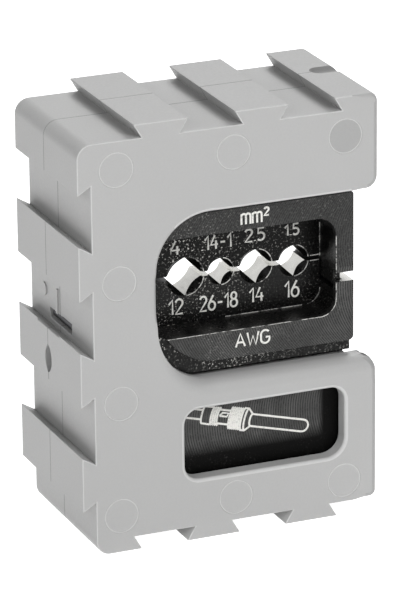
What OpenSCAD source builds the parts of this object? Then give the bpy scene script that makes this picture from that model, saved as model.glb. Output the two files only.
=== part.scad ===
// Crimp die magazine: a moulded holder with dovetail rails, carrying one pair of
// exchangeable crimping dies with four diamond nests.
// Lengths in millimetres. The left rail tips are at x = 0, the front face at y = 0
// and the lower rail tips at z = 0; the last step moves the origin to the middle of the foot.

/* [Magazine] */
// Width over the left rail tips and the right face
case_w = 48; // [47.5:0.5:56]
// Depth from front face to back face
case_d = 25.6; // [25.6:0.2:32]
// Height over the upper and lower rail tips
case_h = 66.4; // [66.4:0.2:70]
// Depth of the seam between the two shells, from the front face
seam_y = 13.5; // [12.6:0.1:14]
// Thickness of the front and back plates
plate_t = 2.5; // [2:0.1:2.6]

/* [Dovetail rails] */
// Height of a rail above the wall that carries it
rail_h = 2.1; // [1.6:0.1:2.4]
// Width of a rail across its tip
rail_tip_w = 8.6; // [7.8:0.1:8.8]
// Width of a rail at its root
rail_root_w = 6.1; // [5.6:0.1:6.6]
// Spacing of the rails along the top and bottom
rail_pitch_x = 16; // [15.8:0.1:16.2]
// Spacing of the rails up the left side
rail_pitch_z = 16.5; // [16.2:0.1:16.6]

/* [Openings in the plates] */
// Left edge of the die notch
notch_x = 12.3; // [12:0.1:14]
// Lower edge of the die notch
notch_z0 = 25; // [24.8:0.1:25.2]
// Upper edge of the die notch
notch_z1 = 51.5; // [51.4:0.1:52]
// Radius of the notch's upper corner
notch_r_up = 8.6; // [7:0.1:9]
// Radius of the notch's lower corner
notch_r_low = 9.3; // [8.4:0.1:9.4]
// Radius of the rounded lip under the notch
lip_r = 2.4; // [1.6:0.1:2.4]
// Left and right edges of the lower window
window_x = [16.45, 42.55]; // [14:0.05:43]
// Lower and upper edges of the lower window
window_z = [9.6, 20.8]; // [9.2:0.1:21]

/* [Dies] */
// Gap between the two dies as stored
die_gap = 0.7; // [0.4:0.1:0.8]
// Height of the line where the dies meet
parting_z = 39.4; // [39.2:0.1:39.6]
// Centre of each nest along the die
nest_x = [19.55, 25.3, 31.0, 37.15]; // [16:0.05:38]
// Depth of each nest's V groove in one die
nest_d = [2.65, 1.73, 2.3, 2.07]; // [1.2:0.01:2.8]
// Length of the nests along the wire
nest_len = 5.1; // [4.5:0.1:5.5]
// Depth of the pocket in front of the nests, from the raised bar
pocket_d = 5.8; // [5:0.1:6]

/* [Hidden] */

$fn = 64;
eps = 0.01;
over = 1;
far = 60;

// Walls of the magazine around the die cavity
base_x = rail_h;
base_z0 = rail_h;
base_z1 = case_h - rail_h;
cavity_x = 10.4;
cavity_z = [9.0, 56.9];
back_in = case_d - plate_t;
flank = (rail_tip_w - rail_root_w) / 2;

// Radii of the outline's corners, of the ends of the arms and of the window
corner_r_up_left = 2.3;
corner_r_up_right = 1.4;
corner_r_low_left = 2.1;
corner_r_low_right = 1.1;
arm_r_up = 2.0;
arm_r_low = 2.2;
window_r = [2.4, 3.0, 2.3, 2.4];

// Right end of the lower arm, a little short of the upper arm
arm_low_x = case_w - 0.15;

// Rail centres, and the tips of the wide corner blocks
top_rails = [for (i = [0:1]) 13.2 + i * rail_pitch_x];
left_rails = [for (i = [0:2]) 11.57 + i * rail_pitch_z];
bottom_rails = [for (i = [0:1]) 20.95 + i * rail_pitch_x];
block_top_x = 40.82;
block_left_z = 56.61;
block_bottom_x = 9.36;

// Pegs that locate the back shell in the front shell
peg_r = 1.2;
peg_len = 4.5;
peg_fit = 0.05;
peg_clear = 0.3;
peg_nose = 0.4;
peg_taper = 0.3;
pegs = [[6.1, 5.8], [24.6, 5.8], [42.4, 5.6], [6.3, 23.6], [6.3, 42.4],
        [6.1, 59.9], [24.65, 60.2], [42.6, 60.3]];

// Marks of the ejector pins over the pegs
mark_r = 2.75;
mark_d = 0.06;

// Slot in the left wall for the clip's folded tab, and the push-out hole below it
slot_y = [8.9, 17.7];
slot_z = [32.05, 33.75];
push_z = 27.2;
push_half_w = 1.35;
push_half_h = 2.2;

// Tongues in the front shell and ribs in the back shell that guide the dies
upper_tongue_d = 1.6;
upper_tongue_z = [54.0, 55.4];
lower_tongue_d = 2.3;
lower_tongue_z = [22.9, notch_z0];
guide_gap = 0.2;
guide_x = [cavity_x + 1.6, case_w - 1.9];
lead_x = 44;
lead_d = 0.9;
groove_room = 0.65;
upper_groove_z = upper_tongue_z + [-guide_gap, guide_gap];
lower_groove_z = lower_tongue_z + [-guide_gap, groove_room];
rear_rib_z0 = 53.8;

// Dies: depths from the front face
die_x = [11.6, 44.5];
body_y = [plate_t + guide_gap, plate_t + guide_gap + 13.7];
bar_y = body_y[0] - 1.5;
web_y = [bar_y + pocket_d, bar_y + pocket_d + nest_len];
upper_die_z = [parting_z + die_gap / 2, 56.6];
lower_die_z = [9.3, parting_z - die_gap / 2];
leg_x = 41.6;
upper_leg_z = 38.55;
lower_leg_z = 37.12;
upper_pocket_z = 47.5;
lower_pocket_z = 32.05;
rear_pocket_z = [33.5, 45.5];
bar_top_z = notch_z1 - 0.4;
bar_low_z = 27.65;
bar_x0 = notch_x + 0.3;
bar_r = [9.9, 0.8, 0.4, 8.4];
pocket_r_low = 2.5;
pocket_r_up = 3.0;
die_r = 0.6;

// Register rib under the upper die's leg and the groove for it in the lower die, which keep the pair in line
rib_w = 1.2;
rib_fit = 0.15;
rib_z = 36.5;
rib_front_y = bar_y + 1.2;

// Conical mouths of the nests: depth, and how far each narrows
mouth_front_d = 1.2;
mouth_back_d = 0.8;
mouth_front_end = 0.66;
mouth_back_end = 0.72;
mouth_rim = 0.05;

// Fixings on the back of the dies
dowel_shank = 4.9;
dowel_free = 3.2;
dowel_chamfer = 0.35;
dowel_hole_d = 5;
plunger_hole_d = 8;
dowel_r = 1.5;
dowel_free_r = 1.25;
dowel_x = [21, 38];
upper_fix_z = 48.9;
lower_fix_z = 29.4;
plunger_x = 29.5;
plunger_r = 2.5;
plunger_y = [body_y[1] - 7.9, body_y[1] - 0.1];
ball_r = 1.5;
ball_out = 0.8;
ball_y = plunger_y[1] + ball_out - ball_r;
bore_r = ball_r + 0.05;
bore_y = plunger_y[0] + 1.6;
plunger_chamfer = 0.4;
rim_h = 0.55;
rim_in = 0.19;
key_slot = [0.8, 0.8, 0.7];

// Spring behind the ball
spring_wire_r = 0.17;
spring_coil_r = 1.2;
spring_turns = 7;
spring_steps = 14;
spring_sides = 6;
spring_gap = 0.02;

// Retaining clip
clip_t = 0.5;
clip_w = 8.0;
clip_finger_w = 5.2;
clip_y = (slot_y[0] + slot_y[1]) / 2;
clip_x = cavity_x + 0.05;
upper_finger_z = 52.0;
lower_finger_z = 20.9;
finger_len = 9;
finger_bow = 0.45;
finger_h = finger_bow + clip_t;
finger_slot_h = finger_h + 0.1;
finger_side_gap = 0.2;
push_clear_r = 2.6;

plastic = [0.62, 0.62, 0.62];
black_steel = [0.12, 0.12, 0.13];
bright_steel = [0.75, 0.76, 0.78];
spring_steel = [0.45, 0.46, 0.5];

// Helpers

// Extrudes an x-z outline from depth y0 to depth y1
module along_depth(y0, y1) {
    translate([0, y1, 0])
        rotate([90, 0, 0])
            linear_extrude(height = y1 - y0)
                children();
}

// A cylinder lying along the depth, from y0 to y1
module depth_rod(x, z, y0, y1, r0, r1) {
    translate([x, y1, z])
        rotate([90, 0, 0])
            cylinder(h = y1 - y0, r1 = r1, r2 = r0);
}

// What a rounding of radius r takes off a square corner that points to -x, -z
module corner_waste(r) {
    difference() {
        translate([-over, -over])
            square(r + over);
        translate([r, r])
            circle(r);
    }
}

// The same waste, set at a corner of the outline; sx and sz point into the material
module round_off(x, z, sx, sz, r) {
    if (r > 0)
        translate([x, z])
            mirror([sx < 0 ? 1 : 0, 0])
                mirror([0, sz < 0 ? 1 : 0])
                    corner_waste(r);
}

// A rectangle with its four corners rounded: r = [low left, low right, top right, top left]
module rounded_rect(x, z, r) {
    difference() {
        translate([x[0], z[0]])
            square([x[1] - x[0], z[1] - z[0]]);
        round_off(x[0], z[0], 1, 1, r[0]);
        round_off(x[1], z[0], -1, 1, r[1]);
        round_off(x[1], z[1], -1, -1, r[2]);
        round_off(x[0], z[1], 1, -1, r[3]);
    }
}

// One dovetail rail standing on y = 0, centred on x = 0
module rail_profile() {
    polygon([[-rail_root_w / 2, -over], [-rail_root_w / 2, 0], [-rail_tip_w / 2, rail_h],
             [rail_tip_w / 2, rail_h], [rail_root_w / 2, 0], [rail_root_w / 2, -over]]);
}

// Magazine

// The corner blocks are rails that run on to the next face
module corner_blocks() {
    // Upper left, flush with the left rails
    polygon([[base_x + over, base_z1], [0, base_z1], [0, block_left_z],
             [base_x, block_left_z + flank], [base_x + over, block_left_z + flank]]);
    // Upper right, flush with the top rails
    polygon([[block_top_x + flank, base_z1 - over], [block_top_x + flank, base_z1], [block_top_x, case_h],
             [case_w, case_h], [case_w, base_z1 - over]]);
    // Lower left, flush with the bottom rails
    polygon([[base_x, base_z0 + over], [base_x, 0], [block_bottom_x, 0],
             [block_bottom_x - flank, base_z0], [block_bottom_x - flank, base_z0 + over]]);
}

module case_outline() {
    difference() {
        union() {
            translate([base_x, base_z0])
                square([case_w - base_x, base_z1 - base_z0]);
            for (x = top_rails)
                translate([x, base_z1])
                    rail_profile();
            for (x = bottom_rails)
                translate([x, base_z0])
                    mirror([0, 1])
                        rail_profile();
            for (z = left_rails)
                translate([base_x, z])
                    rotate(90)
                        rail_profile();
            corner_blocks();
        }
        round_off(0, base_z1, 1, -1, corner_r_up_left);
        round_off(case_w, case_h, -1, -1, corner_r_up_right);
        round_off(base_x, 0, 1, 1, corner_r_low_left);
        translate([arm_low_x, 0])
            square([far, notch_z0]);
        round_off(arm_low_x, base_z0, -1, 1, corner_r_low_right);
    }
}

// The die notch in a plate, open to the right, with the rounded ends of the arms
module notch_outline() {
    rounded_rect([notch_x, case_w + over], [notch_z0, notch_z1], [notch_r_low, 0, 0, notch_r_up]);
    round_off(case_w, notch_z1, -1, 1, arm_r_up);
    round_off(arm_low_x, notch_z0, -1, -1, arm_r_low);
}

module window_outline() {
    rounded_rect(window_x, window_z, window_r);
}

// Section of the waste that rounds the lip, in radius and depth
module lip_section() {
    difference() {
        translate([-over, -over])
            square(lip_r + over);
        translate([lip_r, lip_r])
            circle(lip_r);
    }
}

// Waste that rounds the notch's lower edge. At the left it turns more tightly than the notch
// itself, so the rounding narrows and dies out on the notch's left side.
module lip_waste() {
    start_x = notch_x + notch_r_low;
    turn_r = notch_r_low - lip_r;
    turn_angle = 110;
    translate([start_x, 0, notch_z0])
        rotate([0, 90, 0])
            linear_extrude(height = case_w - start_x + over)
                lip_section();
    translate([start_x, 0, notch_z0 + turn_r])
        rotate([-90, 0, 0])
            rotate([0, 0, 90])
                rotate_extrude(angle = turn_angle)
                    translate([turn_r, 0])
                        lip_section();
}

// Round marks of the ejector pins: a shallow step down in the plate's face, seen from outside
module ejector_marks() {
    for (p = pegs)
        depth_rod(p[0], p[1], -over, mark_d, mark_r, mark_r);
}

// Cored pockets in the thick walls, from one peg to the next and open towards the seam
module wall_pockets() {
    wall = 2.1;
    to_peg = 3.0;
    r = [0.8, 0.8, 0.8, 0.8];
    for (pair = [[0, 3], [4, 5]])
        rounded_rect([base_x + wall, cavity_x - wall],
                     [pegs[pair[0]][1] + to_peg, pegs[pair[1]][1] - to_peg], r);
    for (pair = [[5, 6], [6, 7]])
        rounded_rect([pegs[pair[0]][0] + to_peg, pegs[pair[1]][0] - to_peg],
                     [cavity_z[1] + wall, base_z1 - wall], r);
    for (pair = [[0, 1], [1, 2]])
        rounded_rect([pegs[pair[0]][0] + to_peg, pegs[pair[1]][0] - to_peg],
                     [base_z0 + wall, cavity_z[0] - wall], r);
}

// The push-out hole: two shallow arcs that meet on the seam
module push_hole() {
    arc_r = (pow(push_half_h, 2) + pow(push_half_w, 2)) / (2 * push_half_w);
    translate([-over, seam_y, push_z])
        rotate([0, 90, 0])
            linear_extrude(height = cavity_x + 2 * over)
                intersection() {
                    translate([0, arc_r - push_half_w])
                        circle(arc_r);
                    translate([0, push_half_w - arc_r])
                        circle(arc_r);
                }
}

// Gate recess at the upper right corner, on the seam
module gate_recess() {
    r = 1.9;
    rise = 1.0;
    start_x = 44.7;
    behind_seam = 0.4;
    translate([start_x, seam_y + behind_seam, case_h + rise]) {
        rotate([0, 90, 0])
            cylinder(h = case_w - start_x + over, r = r);
        sphere(r);
    }
}

// Everything that is cut through both shells
module case_waste() {
    translate([cavity_x, plate_t, cavity_z[0]])
        cube([case_w, back_in - plate_t, cavity_z[1] - cavity_z[0]]);
    along_depth(-over, case_d + over)
        notch_outline();
    along_depth(-over, plate_t + over)
        window_outline();
    along_depth(back_in - over, case_d + over)
        window_outline();
    along_depth(plate_t, back_in)
        wall_pockets();
    lip_waste();
    translate([0, case_d, 0])
        mirror([0, 1, 0])
            lip_waste();
    translate([-over, slot_y[0], slot_z[0]])
        cube([cavity_x + 2 * over, slot_y[1] - slot_y[0], slot_z[1] - slot_z[0]]);
    push_hole();
    gate_recess();
    ejector_marks();
    translate([0, case_d, 0])
        mirror([0, 1, 0])
            ejector_marks();
}

// A tongue of depth d on the inside of the front plate
module tongue(x, z, d) {
    translate([x[0], plate_t - eps, z[0]])
        cube([x[1] - x[0], d + eps, z[1] - z[0]]);
}

module front_shell() {
    color(plastic) {
        difference() {
            along_depth(0, seam_y)
                case_outline();
            case_waste();
            for (p = pegs)
                depth_rod(p[0], p[1], seam_y - peg_len - peg_clear, seam_y + over,
                          peg_r + peg_fit, peg_r + peg_fit);
        }
        tongue(guide_x, upper_tongue_z, upper_tongue_d);
        // The lower tongue's top is flush with the notch, and its right end is a shallow lead-in
        tongue([guide_x[0], lead_x], lower_tongue_z, lower_tongue_d);
        tongue([lead_x - eps, guide_x[1]], lower_tongue_z, lead_d);
    }
}

module rear_shell() {
    rib_y = body_y[1] + guide_gap;
    rear_ribs_z = [[rear_rib_z0, cavity_z[1] + eps], lower_tongue_z];
    slot_rib = [0.3, 0.6, 3.8];
    slot_rib_y = seam_y + 0.5;
    slot_rib_z = slot_z[1] + 0.05;
    gate_mark = [base_x - 0.25, 19.8, 36.0];
    gate_mark_r = 1.0;
    color(plastic) {
        difference() {
            along_depth(seam_y, case_d)
                case_outline();
            case_waste();
        }
        // Ribs behind the dies
        for (z = rear_ribs_z)
            translate([guide_x[0], rib_y, z[0]])
                cube([guide_x[1] - guide_x[0], back_in - rib_y + eps, z[1] - z[0]]);
        for (p = pegs) {
            nose_y = seam_y - peg_len + peg_nose;
            depth_rod(p[0], p[1], nose_y, seam_y + eps, peg_r, peg_r);
            depth_rod(p[0], p[1], nose_y - peg_nose, nose_y, peg_r - peg_taper, peg_r);
        }
        // Rib above the clip slot, and the gate mark behind it
        translate([base_x - slot_rib[0], slot_rib_y, slot_rib_z])
            cube(slot_rib + [eps, 0, 0]);
        translate(gate_mark)
            rotate([0, 90, 0])
                cylinder(h = base_x - gate_mark[0] + eps, r = gate_mark_r);
    }
}

// One bowed finger of the clip, from x0 to the right, centred on height z
module clip_finger(x0, z) {
    r = (pow(finger_len / 2, 2) + pow(finger_bow, 2)) / (2 * finger_bow);
    along_depth(clip_y - clip_finger_w / 2, clip_y + clip_finger_w / 2)
        intersection() {
            translate([x0 + finger_len / 2, z - r + finger_h / 2])
                difference() {
                    circle(r, $fn = 256);
                    circle(r - clip_t, $fn = 256);
                }
            translate([x0, z - 1])
                square([finger_len, 2]);
        }
}

module retaining_clip() {
    tab_x = 3.1;
    tab_mid = (slot_z[0] + slot_z[1]) / 2;
    fold_r = 0.75;
    web_x1 = clip_x + clip_t;
    color(spring_steel) {
        along_depth(clip_y - clip_w / 2, clip_y + clip_w / 2) {
            // Folded tab in the slot of the left wall
            difference() {
                union() {
                    translate([tab_x, tab_mid - fold_r])
                        square([web_x1 - tab_x, 2 * fold_r]);
                    translate([tab_x, tab_mid])
                        circle(fold_r);
                }
                translate([tab_x, tab_mid - fold_r + clip_t])
                    square([web_x1 - tab_x + over, 2 * (fold_r - clip_t)]);
                translate([tab_x, tab_mid])
                    circle(fold_r - clip_t);
            }
        }
        difference() {
            along_depth(clip_y - clip_w / 2, clip_y + clip_w / 2) {
                // Web against the wall, above and below the tab
                translate([clip_x, tab_mid + fold_r - clip_t])
                    square([clip_t, upper_finger_z - tab_mid - fold_r + clip_t]);
                translate([clip_x, lower_finger_z - finger_h / 2])
                    square([clip_t, tab_mid - fold_r + clip_t - lower_finger_z + finger_h / 2]);
            }
            // Clear of the push-out hole
            translate([clip_x - over, seam_y, push_z])
                rotate([0, 90, 0])
                    cylinder(h = clip_t + 2 * over, r = push_clear_r);
        }
        clip_finger(clip_x, upper_finger_z);
        clip_finger(clip_x, lower_finger_z);
    }
}

// Dies

// Outline of the raised bars on the front of the dies, both together
module bar_outline() {
    rounded_rect([bar_x0, die_x[1]], [bar_low_z, bar_top_z], bar_r);
}

// The front pocket around the nests, open to the left
module pocket_outline() {
    rounded_rect([0, leg_x], [lower_pocket_z, upper_pocket_z], [0, pocket_r_low, pocket_r_up, 0]);
}

module rear_pocket_outline() {
    rounded_rect([0, leg_x], rear_pocket_z, [0, pocket_r_low, pocket_r_low, 0]);
}

// Diamond nests, right through the web, with a conical mouth at each end
module nest_waste() {
    for (i = [0 : len(nest_x) - 1]) {
        d = nest_d[i] + die_gap / 2;
        translate([nest_x[i], 0, parting_z]) {
            along_depth(web_y[0] - over, web_y[1] + over)
                polygon([[-d, 0], [0, -d], [d, 0], [0, d]]);
            depth_rod(0, 0, web_y[0] - eps, web_y[0] + mouth_front_d, d + mouth_rim, mouth_front_end * d);
            depth_rod(0, 0, web_y[1] - mouth_back_d, web_y[1] + eps, mouth_back_end * d, d - mouth_rim);
        }
    }
}

// Waste that both dies share
module die_waste() {
    along_depth(bar_y - over, web_y[0])
        pocket_outline();
    along_depth(web_y[1], body_y[1] + over)
        rear_pocket_outline();
    nest_waste();
}

// Blind holes for the dowels and the ball plunger in the back of a die at height z
module fixing_holes(z) {
    for (x = dowel_x)
        depth_rod(x, z, body_y[1] - dowel_hole_d, body_y[1] + over, dowel_r, dowel_r);
    depth_rod(plunger_x, z, body_y[1] - plunger_hole_d, body_y[1] + over, plunger_r, plunger_r);
}

// The slot in a die's left end that the clip's finger enters
module finger_slot(z) {
    translate([die_x[0] - over, clip_y - clip_finger_w / 2 - finger_side_gap, z - finger_slot_h / 2])
        cube([finger_len + over, clip_finger_w + 2 * finger_side_gap, finger_slot_h]);
}

// The groove along a die's front for a tongue of depth d
module guide_groove(z, d) {
    translate([die_x[0] - over, body_y[0] - over, z[0]])
        cube([die_x[1] - die_x[0] + 2 * over, d + guide_gap + over, z[1] - z[0]]);
}

module upper_die() {
    color(black_steel)
        difference() {
            union() {
                along_depth(body_y[0], body_y[1])
                    rounded_rect(die_x, upper_die_z, [0, 0, die_r, die_r]);
                along_depth(bar_y, body_y[0] + eps)
                    intersection() {
                        bar_outline();
                        translate([0, upper_die_z[0]])
                            square(far);
                    }
                // Leg at the right end, with the register rib under it
                along_depth(bar_y, body_y[1])
                    translate([leg_x, upper_leg_z])
                        square([die_x[1] - leg_x, upper_pocket_z - upper_leg_z]);
                along_depth(rib_front_y, body_y[1])
                    translate([leg_x, rib_z])
                        square([rib_w, upper_leg_z - rib_z + eps]);
            }
            die_waste();
            guide_groove(upper_groove_z, upper_tongue_d);
            finger_slot(upper_finger_z);
            fixing_holes(upper_fix_z);
        }
}

module lower_die() {
    color(black_steel)
        difference() {
            union() {
                along_depth(body_y[0], body_y[1])
                    rounded_rect(die_x, lower_die_z, [die_r, die_r, 0, 0]);
                along_depth(bar_y, body_y[0] + eps)
                    intersection() {
                        bar_outline();
                        square([far, lower_die_z[1]]);
                    }
            }
            die_waste();
            // The leg stands lower than the nests, and the register groove runs beside the web
            along_depth(bar_y - over, body_y[1] + over)
                translate([leg_x - rib_fit, lower_leg_z])
                    square(far);
            along_depth(rib_front_y - rib_fit, body_y[1] + over)
                translate([leg_x - rib_fit, rib_z - die_gap])
                    square([rib_w + 2 * rib_fit, far]);
            guide_groove(lower_groove_z, lower_tongue_d);
            finger_slot(lower_finger_z);
            fixing_holes(lower_fix_z);
        }
}

// A stepped dowel: the shank is pressed into the back of a die, the nose stands free
module dowel(x, z) {
    free_y = body_y[1] + dowel_free;
    color(bright_steel) {
        depth_rod(x, z, body_y[1] - dowel_shank, body_y[1], dowel_r, dowel_r);
        depth_rod(x, z, body_y[1], free_y, dowel_free_r, dowel_free_r);
        depth_rod(x, z, free_y, free_y + dowel_chamfer, dowel_free_r, dowel_free_r - dowel_chamfer);
    }
}

module plunger_body(z) {
    chamfer_y = plunger_y[0] + plunger_chamfer;
    rim_y = plunger_y[1] - rim_h;
    color(spring_steel)
        difference() {
            union() {
                depth_rod(plunger_x, z, chamfer_y, plunger_y[1], plunger_r, plunger_r);
                depth_rod(plunger_x, z, plunger_y[0], chamfer_y, plunger_r - plunger_chamfer, plunger_r);
            }
            depth_rod(plunger_x, z, bore_y, rim_y, bore_r, bore_r);
            // The rim closes in round the ball
            depth_rod(plunger_x, z, rim_y - eps, plunger_y[1] + eps, bore_r, bore_r - rim_in);
            // Two key slots in the rim
            for (s = [-1, 1])
                translate([plunger_x + s * plunger_r - key_slot[0] / 2, plunger_y[1] - key_slot[1],
                           z - key_slot[2] / 2])
                    cube(key_slot + [0, over, 0]);
        }
}

module plunger_ball(z) {
    color(bright_steel)
        translate([plunger_x, ball_y, z])
            sphere(ball_r);
}

// Compression spring behind the ball: a round wire on a helix, with closed ends.
// Height of the wire's centre after turn t: flat at both ends, even in between
function spring_rise(t, rise) = rise * min(max((t - 1) / (spring_turns - 2), 0), 1)
    + 2 * spring_wire_r * (min(t, 1) + max(t - spring_turns + 1, 0));

function ring_point(t, rise, side) =
    let (a = 360 * t, b = 360 * side / spring_sides, r = spring_coil_r + spring_wire_r * cos(b))
    [r * cos(a), r * sin(a), spring_wire_r + spring_rise(t, rise) + spring_wire_r * sin(b)];

module plunger_spring(z) {
    // Distance from the ball's centre to the last coil that it rests on
    reach = sqrt(pow(ball_r + spring_wire_r, 2) - pow(spring_coil_r, 2)) + spring_gap;
    // The two closed coils and the wire's own radius take up five wire radii
    rise = ball_y - reach - bore_y - 5 * spring_wire_r;
    n = spring_turns * spring_steps;
    points = [for (i = [0:n]) for (s = [0:spring_sides - 1]) ring_point(i / spring_steps, rise, s)];
    sides = [for (i = [0:n - 1]) for (s = [0:spring_sides - 1])
        let (s1 = (s + 1) % spring_sides)
        [i * spring_sides + s, i * spring_sides + s1,
         (i + 1) * spring_sides + s1, (i + 1) * spring_sides + s]];
    start = [[for (s = [spring_sides - 1:-1:0]) s]];
    end = [[for (s = [0:spring_sides - 1]) n * spring_sides + s]];
    color(spring_steel)
        translate([plunger_x, bore_y, z])
            rotate([-90, 0, 0])
                polyhedron(points, concat(start, sides, end), convexity = 8);
}

module upper_dowel_left() dowel(dowel_x[0], upper_fix_z);
module upper_dowel_right() dowel(dowel_x[1], upper_fix_z);
module lower_dowel_left() dowel(dowel_x[0], lower_fix_z);
module lower_dowel_right() dowel(dowel_x[1], lower_fix_z);
module upper_plunger_body() plunger_body(upper_fix_z);
module lower_plunger_body() plunger_body(lower_fix_z);
module upper_plunger_spring() plunger_spring(upper_fix_z);
module lower_plunger_spring() plunger_spring(lower_fix_z);
module upper_plunger_ball() plunger_ball(upper_fix_z);
module lower_plunger_ball() plunger_ball(lower_fix_z);

// Moves the origin to the middle of the foot
module in_place() {
    translate([-case_w / 2, -case_d / 2, 0])
        children();
}

in_place() front_shell();
in_place() rear_shell();
in_place() retaining_clip();
in_place() upper_die();
in_place() upper_dowel_left();
in_place() upper_dowel_right();
in_place() upper_plunger_body();
in_place() upper_plunger_spring();
in_place() upper_plunger_ball();
in_place() lower_die();
in_place() lower_dowel_left();
in_place() lower_dowel_right();
in_place() lower_plunger_body();
in_place() lower_plunger_spring();
in_place() lower_plunger_ball();
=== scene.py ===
"""Finishes the crimp die magazine: moulded shells, blackened dies, marked figures, springs and a studio."""

import math

import bmesh
import bpy
from bpy.props import FloatProperty, FloatVectorProperty, IntProperty, PointerProperty
from mathutils import Matrix, Vector


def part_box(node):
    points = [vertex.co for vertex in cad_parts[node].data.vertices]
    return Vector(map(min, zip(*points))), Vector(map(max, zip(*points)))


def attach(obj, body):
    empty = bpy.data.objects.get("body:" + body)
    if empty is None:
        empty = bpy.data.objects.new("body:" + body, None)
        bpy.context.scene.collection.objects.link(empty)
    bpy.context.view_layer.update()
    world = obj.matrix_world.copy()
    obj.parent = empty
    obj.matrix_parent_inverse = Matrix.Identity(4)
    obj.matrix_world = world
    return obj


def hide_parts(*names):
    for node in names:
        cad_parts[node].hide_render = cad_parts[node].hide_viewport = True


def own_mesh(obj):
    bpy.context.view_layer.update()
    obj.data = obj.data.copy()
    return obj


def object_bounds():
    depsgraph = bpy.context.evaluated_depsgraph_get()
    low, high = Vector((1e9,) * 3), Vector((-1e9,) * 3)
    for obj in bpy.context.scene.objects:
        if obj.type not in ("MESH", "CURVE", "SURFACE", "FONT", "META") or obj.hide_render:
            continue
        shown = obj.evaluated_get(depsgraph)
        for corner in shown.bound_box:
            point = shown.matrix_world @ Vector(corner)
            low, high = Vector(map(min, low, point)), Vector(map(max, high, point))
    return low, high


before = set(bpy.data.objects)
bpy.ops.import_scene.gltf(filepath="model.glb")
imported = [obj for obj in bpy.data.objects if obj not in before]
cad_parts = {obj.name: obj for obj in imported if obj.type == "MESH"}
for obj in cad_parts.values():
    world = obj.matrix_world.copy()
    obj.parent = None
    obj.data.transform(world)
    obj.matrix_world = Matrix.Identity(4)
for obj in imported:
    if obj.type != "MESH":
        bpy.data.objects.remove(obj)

bl_info = {
    "name": "Crimp Die Magazine",
    "version": (1, 0, 0),
    "blender": (4, 5, 0),
    "location": "3D View > Sidebar > Die Magazine",
    "description": "Gives a dovetailed die magazine its moulded and machined finish",
    "category": "Object",
}

MM = 0.001
CAD_LOW, CAD_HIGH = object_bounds()
CASE_D, CASE_H = ((CAD_HIGH - CAD_LOW) / MM).yz

# Places are in millimetres right of the left rail tips, behind the front face and above the foot
SEAM_Y = (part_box("front_shell")[1].y - CAD_LOW.y) / MM
BAR_Y = (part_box("upper_die")[0].y - CAD_LOW.y) / MM
BODY_Y = BAR_Y + 1.5
WEB_Y = BAR_Y + 5.8
WEB_BACK_Y = WEB_Y + 5.1
LOWER_TOP_Z = (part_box("lower_die")[1].z - CAD_LOW.z) / MM
DIE_GAP = 0.7
PARTING_Z = LOWER_TOP_Z + DIE_GAP / 2
LEG_X = 41.6
LOWER_LEG_Z = 37.12
RIB_END_X = LEG_X + 1.35
# Each nest's middle, and half its width across the corners
NESTS = ((19.55, 3.0), (25.3, 2.08), (31.0, 2.65), (37.15, 2.42))
POCKET_Z = (32.05, 47.5)
POCKET_R = 2.5
NOTCH_X = 12.3
NOTCH_Z = (25.0, 51.5)
WINDOW_X = (16.45, 42.55)
WINDOW_Z = (9.6, 20.8)
FOOT_TOP_Z = 24.5
CLIP_SLOT_Y = (13.0, 22.0)
CLIP_SLOT_Z = (33.6, 38.2)
# The gate recess in the top: its left end, half its width and its depth
GATE_X = 42.8
GATE_HALF_Y = 1.7
GATE_DEPTH = 1.0
# Where the larger radius of the plates' right edges comes in
RIGHT_EDGE_X = (44.2, 46.4)
# The left lip of the notch swells between the first pair of heights and falls back between the second
LIP_SWELLS_Z = (34.4, 37.5)
LIP_FALLS_Z = (42.5, 46.0)
# Heights of the face cutter's centre over the foot, the lower bar and the upper bar
CUTTER_Z = (17.0, 36.2, 42.6)
MARK_R = 2.75
MARK_DEPTH = 0.06
MARKS = (
    (6.1, 5.8), (24.6, 5.8), (42.4, 5.6), (6.3, 23.6), (6.3, 42.4),
    (6.1, 59.9), (24.65, 60.2), (42.6, 60.3),
)
DIES = ("upper", "lower")


def at(x, y, z):
    """A point in the row frame, in metres, from the magazine's own millimetres."""
    return Vector((CAD_LOW.x + x * MM, CAD_LOW.y + y * MM, CAD_LOW.z + z * MM))


def in_mm(point):
    """The magazine's own millimetres of a point in the row frame."""
    return (point - CAD_LOW) / MM


# Node trees

def feed(tree, socket, value):
    """Links a socket to another node's output, or sets it to a plain value."""
    if isinstance(value, bpy.types.NodeSocket):
        tree.links.new(value, socket)
    else:
        socket.default_value = value


def add_node(tree, kind, inputs=None, **settings):
    """A node with its settings made and its inputs fed."""
    made = tree.nodes.new(kind)
    for key, value in settings.items():
        setattr(made, key, value)
    for key, value in (inputs or {}).items():
        feed(tree, made.inputs[key], value)
    return made


def calc(tree, operation, first, second=0.0, third=0.0):
    """The result of a Math node."""
    values = {0: first, 1: second, 2: third}
    return add_node(tree, "ShaderNodeMath", values, operation=operation).outputs[0]


def times(tree, value, *factors):
    """A value multiplied by each factor in turn."""
    for factor in factors:
        value = calc(tree, "MULTIPLY", value, factor)
    return value


def grey(value):
    """An opaque grey."""
    return (value, value, value, 1.0)


def shade(colour, factor):
    """An opaque colour, lighter or darker than the one given."""
    return tuple(min(channel * factor, 1.0) for channel in colour[:3]) + (1.0,)


def new_surface(name):
    """A material with an empty tree but for its shader and output."""
    material = bpy.data.materials.new(name)
    material.use_nodes = True
    tree = material.node_tree
    tree.nodes.clear()
    shader = add_node(tree, "ShaderNodeBsdfPrincipled")
    add_node(tree, "ShaderNodeOutputMaterial", {"Surface": shader.outputs[0]})
    return material, tree, shader


def object_place(tree):
    """Object coordinates, and the same split in three."""
    place = add_node(tree, "ShaderNodeTexCoord").outputs["Object"]
    parts = add_node(tree, "ShaderNodeSeparateXYZ", {0: place}).outputs
    return place, parts


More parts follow.
